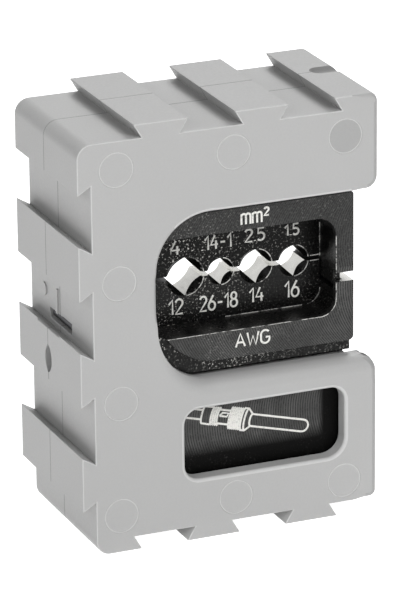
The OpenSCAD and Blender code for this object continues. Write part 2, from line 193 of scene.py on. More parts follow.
def noise(tree, place, grain_mm, detail=2.0, roughness=0.5):
    """Noise whose blobs are about grain_mm across."""
    inputs = {"Vector": place, "Scale": 0.5 / (grain_mm * MM), "Detail": detail, "Roughness": roughness}
    return add_node(tree, "ShaderNodeTexNoise", inputs).outputs["Fac"]


def spread(tree, value, low, high, to_low, to_high):
    """A value taken from one range to another, held at the ends."""
    inputs = {"Value": value, "From Min": low, "From Max": high, "To Min": to_low, "To Max": to_high}
    return add_node(tree, "ShaderNodeMapRange", inputs).outputs[0]


def blend_colours(tree, share, first, second):
    """A mix of two colours."""
    made = add_node(tree, "ShaderNodeMix", data_type="RGBA")
    for key, value in ((0, share), (6, first), (7, second)):
        feed(tree, made.inputs[key], value)
    return made.outputs[2]


def bump(tree, height, depth_mm, below=None):
    """A bump of depth_mm for a height from 0 to 1, on top of another bump."""
    inputs = {"Height": height, "Distance": depth_mm * MM, "Strength": 1.0}
    if below is not None:
        inputs["Normal"] = below
    return add_node(tree, "ShaderNodeBump", inputs).outputs[0]


def dress(tree, shader, colour, roughness, relief, metallic=0.0):
    """Feeds a shader its colour, roughness, relief and metallic share."""
    looks = {"Base Color": colour, "Roughness": roughness, "Normal": relief, "Metallic": metallic}
    for key, value in looks.items():
        feed(tree, shader.inputs[key], value)


# Finishes

def moulded_plastic(name, colour):
    """Grey moulded plastic with a fine eroded grain and faint clouds."""
    material, tree, shader = new_surface(name)
    place, _ = object_place(tree)
    grain = noise(tree, place, 0.16, 3.0, 0.6)
    clouds = noise(tree, place, 9.0, 3.0, 0.55)
    body = blend_colours(tree, clouds, shade(colour, 0.965), shade(colour, 1.035))
    body = blend_colours(tree, spread(tree, grain, 0.3, 0.7, 0.0, 0.5), body, shade(colour, 0.93))
    flow = bump(tree, noise(tree, place, 3.5, 1.0), 0.012)
    dress(tree, shader, body, spread(tree, grain, 0.3, 0.7, 0.42, 0.58), bump(tree, grain, 0.016, flow))
    return material


def mill_marks(tree, place, parts, look):
    """Height, from 0 to 1, of the arcs that a face cutter leaves as it travels along the die."""
    x, _, z = parts
    foot_z, lower_z, upper_z = CUTTER_Z
    above_foot = calc(tree, "GREATER_THAN", z, CAD_LOW.z + FOOT_TOP_Z * MM)
    above_parting = calc(tree, "GREATER_THAN", z, CAD_LOW.z + PARTING_Z * MM)
    centre = calc(tree, "MULTIPLY_ADD", above_foot, (lower_z - foot_z) * MM, CAD_LOW.z + foot_z * MM)
    centre = calc(tree, "MULTIPLY_ADD", above_parting, (upper_z - lower_z) * MM, centre)
    off = calc(tree, "SUBTRACT", z, centre)
    square = calc(tree, "SUBTRACT", look.cutter_radius ** 2, times(tree, off, off))
    reach = calc(tree, "SQRT", calc(tree, "MAXIMUM", square, 0.0))
    travel = calc(tree, "ADD", x, reach)
    wander = times(tree, noise(tree, place, 2.2, 2.0), 0.35 * look.cutter_feed)
    turns = calc(tree, "DIVIDE", calc(tree, "ADD", travel, wander), look.cutter_feed)
    wave = calc(tree, "SINE", times(tree, turns, math.tau))
    return calc(tree, "MULTIPLY_ADD", wave, 0.5, 0.5)


def blackened_steel(name, look):
    """Black oxide over milled steel: cutter arcs on the front faces, a speckled pocket floor darkened by
    painted shade, and a painted shadow on the foot's right and lower border.
    """
    material, tree, shader = new_surface(name)
    place, parts = object_place(tree)
    front_y = CAD_LOW.y
    on_bar = calc(tree, "LESS_THAN", parts[1], front_y + (BAR_Y + 0.25) * MM)
    below = calc(tree, "LESS_THAN", parts[2], CAD_LOW.z + FOOT_TOP_Z * MM)
    set_back = calc(tree, "LESS_THAN", parts[1], front_y + (BODY_Y + 0.25) * MM)
    on_foot = times(tree, below, set_back)
    milled = calc(tree, "MAXIMUM", on_bar, on_foot)
    lower = calc(tree, "LESS_THAN", parts[2], CAD_LOW.z + PARTING_Z * MM)
    cut = spread(tree, noise(tree, place, 1.3, 2.0), 0.35, 0.65, 0.4, 1.0)
    cut = times(tree, cut, spread(tree, lower, 0.0, 1.0, 0.45, 1.0))
    arcs = times(tree, mill_marks(tree, place, parts, look), cut, milled)
    sunk = calc(tree, "GREATER_THAN", parts[1], front_y + (BAR_Y + 1.0) * MM)
    # The pocket floor is darkened as painted shade in the recess, more on the upper die than on the lower
    floor = times(tree, sunk, calc(tree, "SUBTRACT", 1.0, below), spread(tree, lower, 0.0, 1.0, 0.85, 0.62))
    # Below 1 this deepens the black: painted shadow on the foot's border and painted shade on the pocket
    # floor
    unshaded = calc(tree, "SUBTRACT", outside_painted_foot_shadow(tree, parts, on_foot), floor)
    fine = spread(tree, noise(tree, place, 0.17, 3.0, 0.65), 0.36, 0.64, 0.0, 1.0)
    body = blend_colours(tree, arcs, shade(look.steel_colour, 0.3), shade(look.steel_colour, 6.0))
    body = blend_colours(tree, times(tree, fine, 0.6), body, shade(look.steel_colour, 3.4))
    body = blend_colours(tree, unshaded, shade(look.steel_colour, 0.35), body)
    body = blend_colours(tree, specks(tree, place, parts, sunk, below), body, look.speck_colour)
    rough = calc(tree, "MULTIPLY_ADD", milled, 0.14, spread(tree, fine, 0.0, 1.0, 0.26, 0.40))
    relief = bump(tree, fine, 0.008, bump(tree, arcs, 0.012))
    dress(tree, shader, body, rough, relief, spread(tree, unshaded, 0.0, 1.0, 0.97, 0.55))
    return material


def specks(tree, place, parts, sunk, below):
    """Where bright specks show: in patches, most on the left of the pocket and hardly on the foot."""
    grains = spread(tree, noise(tree, place, 0.17, 3.0, 0.7), 0.585, 0.65, 0.0, 1.0)
    patches = spread(tree, noise(tree, place, 4.0, 3.0, 0.6), 0.40, 0.56, 0.1, 1.0)
    to_right = spread(tree, parts[0], CAD_LOW.x + 16 * MM, CAD_LOW.x + 36 * MM, 1.0, 0.3)
    in_pocket = spread(tree, sunk, 0.0, 1.0, 0.35, 1.0)
    off_foot = spread(tree, below, 0.0, 1.0, 1.0, 0.05)
    on_front = calc(tree, "LESS_THAN", parts[1], CAD_LOW.y + (WEB_Y + 0.3) * MM)
    return times(tree, grains, patches, to_right, in_pocket, off_foot, on_front)


def outside_painted_foot_shadow(tree, parts, on_foot):
    """1 but on the foot's right and lower border, where it falls to 0 as a painted shadow of the window's
    wall.
    """
    from_right = spread(tree, parts[0], CAD_LOW.x + 39.2 * MM, CAD_LOW.x + 40.2 * MM, 1.0, 0.0)
    from_below = spread(tree, parts[2], CAD_LOW.z + 12.2 * MM, CAD_LOW.z + 14.4 * MM, 0.0, 1.0)
    return calc(tree, "MAXIMUM", calc(tree, "SUBTRACT", 1.0, on_foot), times(tree, from_right, from_below))


def painted_highlight_steel(name, look):
    """Painted highlight along an edge: lightened black oxide that turns to bright steel in short stretches.
    """
    material, tree, shader = new_surface(name)
    place, _ = object_place(tree)
    highlight_share = spread(tree, noise(tree, place, 0.45, 3.0, 0.7), 0.40, 0.54, 0.0, 1.0)
    body = blend_colours(tree, highlight_share, shade(look.steel_colour, 2.5), shade(look.bright_colour, 1.0))
    dress(tree, shader, body, 0.5, bump(tree, highlight_share, 0.002), 0.3)
    return material


def ground_steel(name, colour, roughness, scratch_mm):
    """Bare steel with fine scratches across it."""
    material, tree, shader = new_surface(name)
    place, _ = object_place(tree)
    stretched = add_node(tree, "ShaderNodeMapping", {"Vector": place, "Scale": (1.0, 0.12, 1.0)}).outputs[0]
    lines = noise(tree, stretched, scratch_mm, 3.0, 0.6)
    stain = noise(tree, place, 1.4, 3.0, 0.6)
    stained = spread(tree, stain, 0.35, 0.75, 0.0, 0.7)
    body = blend_colours(tree, stained, shade(colour, 1.0), shade(colour, 0.82))
    rough = spread(tree, lines, 0.3, 0.7, roughness * 0.75, roughness * 1.3)
    dress(tree, shader, body, rough, bump(tree, lines, 0.002), 1.0)
    return material


def marked_figures(name, colour):
    """The pale, slightly broken surface that a marking laser leaves in black oxide."""
    material, tree, shader = new_surface(name)
    place, _ = object_place(tree)
    broken = spread(tree, noise(tree, place, 0.16, 3.0, 0.7), 0.52, 0.68, 0.0, 0.55)
    body = blend_colours(tree, broken, shade(colour, 1.0), shade(colour, 0.35))
    dress(tree, shader, body, 0.7, bump(tree, broken, 0.006))
    return material


# Pieces made from the CAD nodes

SHARP_TURN = math.radians(24)
FLAT_TURN = math.radians(0.5)
WELD_REACH = 0.001 * MM
# Millimetres of a sharp edge that share one radius
STRETCH = 0.8
# Millimetres by which radii may differ and still count as one
EVEN_ENOUGH = 0.01
# Smallest and largest turn, in degrees, between two edges of one bend
BEND_TURNS = (1.0, 40.0)


def finish_node(node, name, body, slot, materials, edge_radius, face_material=None, steps=3):
    """Puts a rounded copy in the place of a CAD node.

    edge_radius takes a sharp edge's ends and a point of it, and gives a radius in millimetres.
    face_material takes a face's centre, its normal and whether it rounds an edge, and gives an index.
    """
    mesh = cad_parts[node].data.copy()
    mesh.name = name
    shape = bmesh.new()
    shape.from_mesh(mesh)
    bmesh.ops.remove_doubles(shape, verts=shape.verts, dist=WELD_REACH)
    bmesh.ops.dissolve_limit(shape, angle_limit=FLAT_TURN, verts=shape.verts, edges=shape.edges)
    layers = shape.edges.layers.float
    weights = layers.get("bevel_weight_edge") or layers.new("bevel_weight_edge")
    radii = even_radii(shape, edge_radius)
    for edge, radius in radii.items():
        edge[weights] = radius
    shape.to_mesh(mesh)
    shape.free()
    mesh.materials.clear()
    rounded = len(materials)
    for material in materials + materials[:1]:
        mesh.materials.append(material)
    piece = bpy.data.objects.new(name, mesh)
    bpy.context.scene.collection.objects.link(piece)
    rounding = piece.modifiers.new("rounded_edges", "BEVEL")
    rounding.limit_method = "WEIGHT"
    rounding.width = MM
    rounding.segments = steps
    rounding.use_clamp_overlap = False
    rounding.loop_slide = False
    rounding.miter_outer = "MITER_ARC"
    rounding.material = rounded
    make_plain(piece)
    edges = {face.index for face in piece.data.polygons if face.material_index == rounded}
    shade_round(piece.data, edges)
    piece.data.materials.pop(index=rounded)
    for face in piece.data.polygons:
        on_edge = face.index in edges
        face.material_index = face_material(in_mm(face.center), face.normal, on_edge) if face_material else 0
    return hand_over(piece, body, slot, node)


def shade_round(mesh, rounded):
    """Keeps flat faces flat up to their rounded edges, and turns the light smoothly round those."""
    faces_at = [[] for _ in mesh.vertices]
    for face in mesh.polygons:
        face.use_smooth = True
        for vert in face.vertices:
            faces_at[vert].append(face)
    normals = [None] * len(mesh.loops)
    for face in mesh.polygons:
        for loop in face.loop_indices:
            around = faces_at[mesh.loops[loop].vertex_index]
            flat = [other for other in around if other.index not in rounded]
            if face.index in rounded and flat:
                nearest = max(flat, key=lambda other: other.normal.dot(face.normal))
                same = [other for other in flat if other.normal.dot(nearest.normal) > math.cos(SHARP_TURN)]
            elif face.index in rounded:
                same = around
            else:
                same = [other for other in flat if other.normal.dot(face.normal) > math.cos(SHARP_TURN)]
            normals[loop] = sum((other.normal * other.area for other in same), Vector()).normalized()
    mesh.normals_split_custom_set(normals)


def even_radii(shape, edge_radius):
    """A radius for each sharp outer edge; straight edges are cut where it changes, bends keep one radius."""
    wanted = {}
    for edge in [edge for edge in shape.edges if is_sharp(edge)]:
        first, second = (in_mm(vert.co) for vert in edge.verts)
        count = max(1, math.ceil((second - first).length / STRETCH))
        radii = [edge_radius(first, second, first.lerp(second, (i + 0.5) / count)) for i in range(count)]
        if max(radii) - min(radii) < EVEN_ENOUGH:
            wanted[edge] = radii[0]
            continue
        end = edge.verts[0]
        for i in range(count - 1):
            cut, end = bmesh.utils.edge_split(edge, end, 1 / (count - i))
            wanted[cut] = radii[i]
        wanted[edge] = radii[-1]
    done = set()
    radii = {}
    for first in wanted:
        if first in done:
            continue
        bend = [first]
        done.add(first)
        for edge in bend:
            for other in next_in_bend(edge, wanted):
                if other not in done:
                    done.add(other)
                    bend.append(other)
        whole = sum(edge.calc_length() for edge in bend)
        radius = sum(edge.calc_length() * wanted[edge] for edge in bend) / whole
        radii.update((edge, radius) for edge in bend)
    return radii


def is_sharp(edge):
    """Whether an edge is an outer corner rather than a facet line or an inner corner."""
    return len(edge.link_faces) == 2 and edge.calc_face_angle_signed(0.0) > SHARP_TURN


def next_in_bend(edge, known):
    """The known edges that carry on from an edge at a small turn."""
    for vert in edge.verts:
        out = (edge.other_vert(vert).co - vert.co).normalized()
        for other in vert.link_edges:
            if other is not edge and other in known:
                way = (other.other_vert(vert).co - vert.co).normalized()
                if BEND_TURNS[0] < 180 - math.degrees(out.angle(way)) < BEND_TURNS[1]:
                    yield other


def make_plain(piece):
    """Turns a piece's evaluated shape into a plain mesh and takes its modifiers off."""
    graph = bpy.context.evaluated_depsgraph_get()
    mesh = bpy.data.meshes.new_from_object(piece.evaluated_get(graph), depsgraph=graph)
    piece.modifiers.clear()
    if piece.type == "MESH":
        piece.data = mesh
        mesh.name = piece.name
    return piece


def hand_over(piece, body, slot, *nodes):
    """Says which body a finished piece rides on and hides the CAD nodes it stands for; slot is not used."""
    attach(piece, body)
    if nodes:
        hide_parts(*nodes)
    return piece


def near(value, target, slack=0.08):
    """Whether two lengths in millimetres are the same."""
    return abs(value - target) < slack


def within(value, span, slack=0.1):
    """Whether a length lies between a span's two ends, or no further than the slack outside them."""
    return span[0] - slack < value < span[1] + slack


def on_mark(point):
    """Whether a point lies on the round step of an ejector mark."""
    if not (point.y < 0.1 or point.y > CASE_D - 0.1):
        return False
    return any(near(math.hypot(point.x - x, point.z - z), MARK_R, 0.06) for x, z in MARKS)


def ease(value, start, end):
    """0 before start, 1 after end and a smooth change between them."""
    share = min(max((value - start) / (end - start), 0.0), 1.0)
    return share * share * (3 - 2 * share)


# Radii of edges, in millimetres
TIGHT_R = 0.05
SEAM_R = 0.1
INNER_R = 0.12
OUTER_R = 0.14
THROUGH_R = 0.16
REAR_R = 0.3
NOTCH_R = 0.45
WINDOW_R = 0.5
RIGHT_R = 0.8
LIP_R = 0.9


def shell_radius(first, second, point):
    """Radius of a moulded edge at a point of it, in millimetres, by where the edge runs."""
    if near(first.y, SEAM_Y) and near(second.y, SEAM_Y):
        return SEAM_R
    if on_mark(first) and on_mark(second):
        return 0.0
    in_front = max(first.y, second.y) < 0.01
    at_back = min(first.y, second.y) > CASE_D - 0.01
    in_notch = point.x > NOTCH_X - 0.1 and within(point.z, NOTCH_Z)
    at_clip_slot = point.x < 2.4 and within(point.y, CLIP_SLOT_Y, 0.0) and within(point.z, CLIP_SLOT_Z, 0.0)
    on_arm_corner = point.x > 45.0 and point.y < 2.5 and 22.0 < point.z < NOTCH_Z[0] + 0.1
    if in_notch and point.x < 22.0 and point.z < LIP_SWELLS_Z[0]:
        return TIGHT_R
    if at_clip_slot:
        return 0.0
    if on_arm_corner:
        return LIP_R
    if not in_front and not at_back:
        return THROUGH_R if abs(first.y - second.y) > 1.0 else INNER_R
    if within(point.x, WINDOW_X) and within(point.z, WINDOW_Z):
        return WINDOW_R
    radius = OUTER_R
    if in_notch:
        radius = NOTCH_R
        if point.x < NOTCH_X + 1.0:
            fallen = ease(point.z, *LIP_FALLS_Z)
            swollen = ease(point.z, *LIP_SWELLS_Z) * (1 - fallen)
            radius = TIGHT_R + (LIP_R - TIGHT_R) * swollen + (NOTCH_R - TIGHT_R) * fallen
        elif point.z < NOTCH_Z[0] + 1.0:
            radius = TIGHT_R
    if at_back:
        return min(radius, REAR_R)
    return radius + (RIGHT_R - radius) * ease(point.x, *RIGHT_EDGE_X)


# Where each plastic stands in the shells' list of materials, and each steel in the dies'
PLAIN, DARKENED, PLASTIC_HIGHLIGHT, SHADED = range(4)
BLACK, BRIGHT, STEEL_HIGHLIGHT = range(3)


def shell_face(centre, normal, on_edge):
    """Which material a shell's face has.

    Rounded plate edges are pale as a painted highlight; at the seam the front shell's edge is pale and the
    rear shell's edge dark, as painted highlight and shade; the gate recess is dark as painted shade; the
    right front edge is darker as painted shade; the last ejector mark's disc is darker; the rest is plain.
    """
    x, z = MARKS[-1]
    in_gate_width = centre.x > GATE_X and near(centre.y, SEAM_Y + 0.4, GATE_HALF_Y)
    in_gate = in_gate_width and CASE_H - GATE_DEPTH < centre.z < CASE_H - 0.01
    on_right_edge = centre.x > 46.2 and centre.y < 2.0 and centre.z < 62.0
    by_left_lip = NOTCH_X - 1.5 < centre.x < NOTCH_X + 3.0 and NOTCH_Z[0] + 4.0 < centre.z < NOTCH_Z[1] - 1.0
    on_a_plate = centre.y < 1.2 or centre.y > CASE_D - 1.2
    on_last_mark = centre.y < 0.1 and math.hypot(centre.x - x, centre.z - z) < MARK_R - 0.2
    # At the seam the front shell's edge is pale as painted highlight and the rear shell's edge dark as
    # painted shade
    if on_edge and near(centre.y, SEAM_Y, 0.3):
        return SHADED if centre.y > SEAM_Y else PLASTIC_HIGHLIGHT
    # The gate recess is darkened as painted shade
    if in_gate:
        return SHADED
    # The right front edge is darker as painted shade
    if on_edge and on_right_edge:
        return DARKENED
    if by_left_lip:
        return PLAIN
    # Rounded plate edges are pale as painted highlight
    if on_edge and on_a_plate and centre.x < 43.5:
        return PLASTIC_HIGHLIGHT
    return DARKENED if on_last_mark else PLAIN


def die_radius(first, second, point):
    """Radius of a machined edge; the nests and what meets them stay sharp."""
    by_nests = within(point.y, (WEB_Y, WEB_BACK_Y)) and near(point.z, PARTING_Z, 3.2)
    return 0.0 if by_nests else 0.09


def die_face(centre, normal, on_edge):
    """Which material a die's face has.

    The nests and the faces that meet are bright, the pocket's border carries a painted highlight, and the
    rest is black.
    """
    if on_edge:
        # Rounded front edges beside the leg and below the pocket are lit up as painted highlight
        in_front = centre.y < BAR_Y + 0.12 and centre.z > POCKET_Z[0] - 0.2
        beside_leg = near(centre.x, LEG_X, 0.2) and POCKET_Z[0] < centre.z < POCKET_Z[1] - 3.0
        below = centre.x < LEG_X and centre.z < POCKET_Z[0] + POCKET_R
        return STEEL_HIGHLIGHT if in_front and (beside_leg or below) else BLACK
    if near(centre.z, LOWER_LEG_Z) and centre.x > RIB_END_X - 0.1 and normal.z > 0.9:
        return BRIGHT
    if not within(centre.y, (WEB_Y, WEB_BACK_Y), 0.02):
        return BLACK
    if near(centre.z, PARTING_Z, DIE_GAP / 2 + 0.05) and abs(normal.z) > 0.9:
        return BRIGHT if NESTS[0][0] < centre.x < NESTS[-1][0] else BLACK
    if abs(normal.y) > 0.1:
        return BLACK
    for x, half in NESTS:
        across = abs(centre.x - x)
        up = abs(centre.z - PARTING_Z)
        if across + up < 1.5 * half and math.hypot(across, up) < half + 0.08:
            return BRIGHT
    return BLACK


def small_radius(first, second, point):
    """Radius of an edge on a small turned or bent piece."""
    return TIGHT_R


# Strokes: figures and the symbol, as paths on the die's face

def arc(x, z, radius_x, radius_z, start, end, steps=10):
    """Points of an elliptical arc, from start to end in degrees."""
    turns = [math.radians(start + (end - start) * i / steps) for i in range(steps + 1)]
    return [(x + radius_x * math.cos(turn), z + radius_z * math.sin(turn)) for turn in turns]


# Each figure's width and its strokes, where a figure's height is 1. The sign ^ stands for a raised 2
FIGURES = {
    "1": (0.30, [[(0.0, 0.70), (0.26, 1.0), (0.26, 0.0)]]),
    "2": (0.50, [arc(0.25, 0.74, 0.24, 0.26, 165, -38) + [(0.0, 0.0), (0.50, 0.0)]]),
    "4": (0.54, [[(0.30, 1.0), (0.0, 0.33), (0.54, 0.33)], [(0.40, 0.62), (0.40, 0.0)]]),
    "5": (0.50, [[(0.46, 1.0), (0.06, 1.0), (0.04, 0.58)] + arc(0.22, 0.31, 0.27, 0.31, 115, -140)]),
    "6": (0.50, [[(0.36, 1.0), (0.05, 0.48)] + arc(0.25, 0.29, 0.25, 0.29, 150, 510, 18)]),
    "8": (0.50, [arc(0.25, 0.76, 0.20, 0.24, -90, 270, 16), arc(0.25, 0.27, 0.25, 0.27, -90, 270, 18)]),
    ".": (0.06, [[(0.03, 0.0), (0.03, 0.07)]]),
    "-": (0.42, [[(0.04, 0.45), (0.40, 0.45)]]),
    "m": (0.62, [[(0.0, 0.0), (0.0, 0.84)],
                 [(0.0, 0.55)] + arc(0.155, 0.66, 0.155, 0.18, 180, 0) + [(0.31, 0.0)],
                 [(0.31, 0.55)] + arc(0.465, 0.66, 0.155, 0.18, 180, 0) + [(0.62, 0.0)]]),
    "^": (0.36, [arc(0.18, 0.96, 0.15, 0.16, 165, -35) + [(0.02, 0.5), (0.34, 0.5)]]),
    "A": (0.60, [[(0.0, 0.0), (0.30, 1.0), (0.60, 0.0)], [(0.10, 0.33), (0.50, 0.33)]]),
    "W": (0.74, [[(0.0, 1.0), (0.18, 0.0), (0.37, 0.72), (0.56, 0.0), (0.74, 1.0)]]),
    "G": (0.56, [arc(0.28, 0.68, 0.28, 0.32, 35, 180) + arc(0.28, 0.32, 0.28, 0.32, 180, 360)
                 + [(0.56, 0.46), (0.32, 0.46)]]),
}
FIGURE_GAP = 0.16

# Text, its left and right ends, its foot and head, and the depth of the face that carries it
UPPER_TEXTS = (
    ("mm^", 26.3, 30.75, 48.35, 50.3, BAR_Y),
    ("4", 17.35, 18.75, 43.0, 45.2, WEB_Y),
    (".14-1", 22.35, 27.1, 43.05, 45.2, WEB_Y),
    ("2.5", 29.35, 32.5, 43.4, 45.35, WEB_Y),
    ("1.5", 35.8, 38.1, 43.5, 45.2, WEB_Y),
)
LOWER_TEXTS = (
    ("12", 16.9, 19.15, 33.65, 35.95, WEB_Y),
    ("26-18", 21.95, 27.95, 33.5, 35.8, WEB_Y),
    ("14", 30.0, 32.25, 33.75, 35.95, WEB_Y),
    ("16", 35.8, 38.05, 33.65, 36.2, WEB_Y),
    ("AWG", 25.25, 30.7, 29.25, 31.3, BAR_Y),
)


def set_text(text, left, right, foot, head, depth):
    """Strokes of a line of figures, fitted between its left and right ends, as points in the row frame."""
    widths = [FIGURES[figure][0] for figure in text]
    whole = sum(widths) + FIGURE_GAP * (len(text) - 1)
    across = (right - left) / whole
    up = head - foot
    strokes = []
    start = 0.0
    for figure, width in zip(text, widths):
        for stroke in FIGURES[figure][1]:
            strokes.append([at(left + (start + x) * across, depth, foot + z * up) for x, z in stroke])
        start += width + FIGURE_GAP
    return strokes


def contact_symbol():
    """A turned contact in outline: wire end, two hatched collars, a neck with a sight hole, and the pin."""
    start = Vector((17.6, 19.5))
    tip = Vector((37.6, 14.2))
    along = (tip - start).normalized()
    across = Vector((-along.y, along.x))
    pin_r = 0.95
    end = (tip - start).length - pin_r
    lines = [
        [(0.0, -0.75), (2.7, -0.75)],
        [(0.0, 0.75), (2.7, 0.75)],
        arc(3.0, 0.0, 0.25, 1.35, 90, 270, 8) + [(4.4, -1.4)],
        [(3.0, 1.35), (4.4, 1.4)],
        [(5.5, -1.1), (7.4, -1.1)],
        [(5.5, 1.1), (7.4, 1.1)],
        [(5.7, 0.1), (6.1, 0.65), (7.1, 0.65), (6.9, 0.1), (5.7, 0.1)],
        arc(10.3, 0.0, 0.4, 1.75, -90, -270, 10),
        [(9.5, 1.75), (10.3, 1.75), (11.1, pin_r)],
        [(9.5, -1.75), (10.3, -1.75), (11.1, -pin_r)],
        [(11.1, pin_r)] + arc(end, 0.0, pin_r, pin_r, 90, -90) + [(11.1, -pin_r)],
        arc(11.1, 0.0, 0.3, pin_r, -90, -270, 8),
    ]
    for first, last, count, half in ((4.35, 5.4, 4, 1.45), (7.4, 9.4, 7, 1.75)):
        for i in range(count):
            middle = first + (last - first) * i / (count - 1)
            lines.append(arc(middle + 0.3, 0.0, 0.35, half, -90, -270, 8))

    def on_foot(s, t):
        point = start + along * s + across * t
        return at(point.x, BODY_Y, point.y)

    return [[on_foot(s, t) for s, t in line] for line in lines]


def painted_highlight_lines(die):
    """Paths of the thin painted highlights on a die's web: nest rims, the meeting edge and the pocket's
    corner.
    """
    side, last = (1, 78) if die == "upper" else (-1, -86)
    rim = 0.06
    inset = 0.08
    lines = [arc(x, PARTING_Z, half + rim, half + rim, 8 * side, last, 14) for x, half in NESTS]
    edge_z = PARTING_Z + side * (DIE_GAP / 2 + rim)
    lines.append([(39.9, edge_z), (LEG_X - 0.2, edge_z)])
    if die == "upper":
        lines.append([(LEG_X - inset, 39.6), (LEG_X - inset, 44.9)])
    else:
        radius = POCKET_R - inset
        lines.append(arc(LEG_X - POCKET_R, POCKET_Z[0] + POCKET_R, radius, radius, -80, 0))
        lines.append([(26.0, POCKET_Z[0] + inset), (38.6, POCKET_Z[0] + inset)])
    return [[at(x, WEB_Y, z) for x, z in line] for line in lines]


def ejector_rings(back):
    """Circles just inside the steps of the ejector marks on one plate."""
    depth = CASE_D - MARK_DEPTH if back else MARK_DEPTH
    radius = MARK_R - 0.12
    return [[at(px, depth, pz) for px, pz in arc(x, z, radius, radius, 0, 360, 40)] for x, z in MARKS]


def path_mesh(name, strokes):
    """A mesh of bare edges that follows the strokes."""
    points = []
    edges = []
    for stroke in strokes:
        first = len(points)
        points.extend(stroke)
        edges.extend((first + i, first + i + 1) for i in range(len(stroke) - 1))
    mesh = bpy.data.meshes.new(name)
    mesh.from_pydata(points, edges, [])
    piece = bpy.data.objects.new(name, mesh)
    bpy.context.scene.collection.objects.link(piece)
    return piece


def new_group(name, sockets):
    """A geometry node group with named inputs: (name, socket type, default)."""
    group = bpy.data.node_groups.new(name, "GeometryNodeTree")
    group.interface.new_socket("Geometry", in_out="INPUT", socket_type="NodeSocketGeometry")
    for label, kind, default in sockets:
        made = group.interface.new_socket(label, in_out="INPUT", socket_type=kind)
        if default is not None:
            made.default_value = default
    group.interface.new_socket("Geometry", in_out="OUTPUT", socket_type="NodeSocketGeometry")
    return group, add_node(group, "NodeGroupInput").outputs


def close_group(group, geometry, material):
    """Ends a group in real geometry with its material."""
    real = add_node(group, "GeometryNodeRealizeInstances", {"Geometry": geometry}).outputs[0]
    dressed = add_node(group, "GeometryNodeSetMaterial", {"Geometry": real, "Material": material}).outputs[0]
    add_node(group, "NodeGroupOutput", {"Geometry": dressed})


def vector(group, x=0.0, y=0.0, z=0.0):
    """A vector of three numbers or sockets."""
    return add_node(group, "ShaderNodeCombineXYZ", {"X": x, "Y": y, "Z": z}).outputs[0]


def transform(group, geometry, key, value):
    """Geometry with a new Translation or Scale."""
    return add_node(group, "GeometryNodeTransform", {"Geometry": geometry, key: value}).outputs[0]


def sweep(group, path, radius, facets):
    """A closed tube along a path."""
    section = add_node(group, "GeometryNodeCurvePrimitiveCircle", {"Resolution": facets, "Radius": radius})
    inputs = {"Curve": path, "Profile Curve": section.outputs[0], "Fill Caps": True}
    return add_node(group, "GeometryNodeCurveToMesh", inputs).outputs[0]


def stroke_group():
    """Lays a low rounded bead along each path: the section is a circle, pressed flat on the path's plane."""
    group, given = new_group("marked_stroke", (
        ("Stroke Width", "NodeSocketFloat", 0.3 * MM),
        ("Relief", "NodeSocketFloat", 0.02 * MM),
        ("Face Depth", "NodeSocketFloat", 0.0),
        ("Material", "NodeSocketMaterial", None),
    ))
    radius = times(group, given["Stroke Width"], 0.5)
    path = add_node(group, "GeometryNodeMeshToCurve", {"Mesh": given["Geometry"]}).outputs[0]
    squeeze = calc(group, "DIVIDE", given["Relief"], radius)
    to_zero = times(group, given["Face Depth"], -1.0)
    bead = transform(group, sweep(group, path, radius, 8), "Translation", vector(group, y=to_zero))
    flat = transform(group, bead, "Scale", vector(group, 1.0, squeeze, 1.0))
    placed = transform(group, flat, "Translation", vector(group, y=given["Face Depth"]))
    close_group(group, placed, given["Material"])
    return group


WIRE_R = 0.17 * MM


def coil_group():
    """Winds a compression spring along +Y from the origin, with closed ends."""
    group, given = new_group("wound_coil", (
        ("Turns", "NodeSocketInt", 7),
        ("Steps", "NodeSocketInt", 160),
        ("Wire Radius", "NodeSocketFloat", WIRE_R),
        ("Coil Radius", "NodeSocketFloat", 1.2 * MM),
        ("Length", "NodeSocketFloat", 4.0 * MM),
        ("Material", "NodeSocketMaterial", None),
    ))
    wire = given["Wire Radius"]
    line = add_node(group, "GeometryNodeCurvePrimitiveLine").outputs[0]
    spaced = {"Curve": line, "Count": given["Steps"]}
    path = add_node(group, "GeometryNodeResampleCurve", spaced, mode="COUNT").outputs[0]
    share = add_node(group, "GeometryNodeSplineParameter").outputs["Factor"]
    turn = times(group, share, given["Turns"])
    angle = times(group, turn, math.tau)
    # Each closed end turn climbs one wire thickness, and the wire adds its radius at both ends
    open_turns = calc(group, "SUBTRACT", given["Turns"], 2.0)
    climbed = calc(group, "DIVIDE", calc(group, "SUBTRACT", turn, 1.0), open_turns)
    climbed = calc(group, "MINIMUM", calc(group, "MAXIMUM", climbed, 0.0), 1.0)
    last_start = calc(group, "SUBTRACT", given["Turns"], 1.0)
    closed = calc(group, "ADD", calc(group, "MINIMUM", turn, 1.0),
                  calc(group, "MAXIMUM", calc(group, "SUBTRACT", turn, last_start), 0.0))
    rise = calc(group, "MULTIPLY_ADD", wire, -6.0, given["Length"])
    height = calc(group, "MULTIPLY_ADD", climbed, rise, wire)
    height = calc(group, "ADD", height, times(group, closed, wire, 2.0))
    across = times(group, calc(group, "COSINE", angle), given["Coil Radius"])
    up = times(group, calc(group, "SINE", angle), given["Coil Radius"])
    point = vector(group, across, height, up)
    helix = add_node(group, "GeometryNodeSetPosition", {"Geometry": path, "Position": point}).outputs[0]
    close_group(group, sweep(group, helix, wire, 10), given["Material"])
    return group


def grow(piece, group, values):
    """Runs a geometry node group on a piece and keeps the result as its plain mesh."""
    grower = piece.modifiers.new(group.name, "NODES")
    grower.node_group = group
    names = {item.name: item.identifier for item in group.interface.items_tree if item.in_out == "INPUT"}
    for name, value in values.items():
        grower[names[name]] = value
    make_plain(piece)
    for face in piece.data.polygons:
        face.use_smooth = True
    return piece


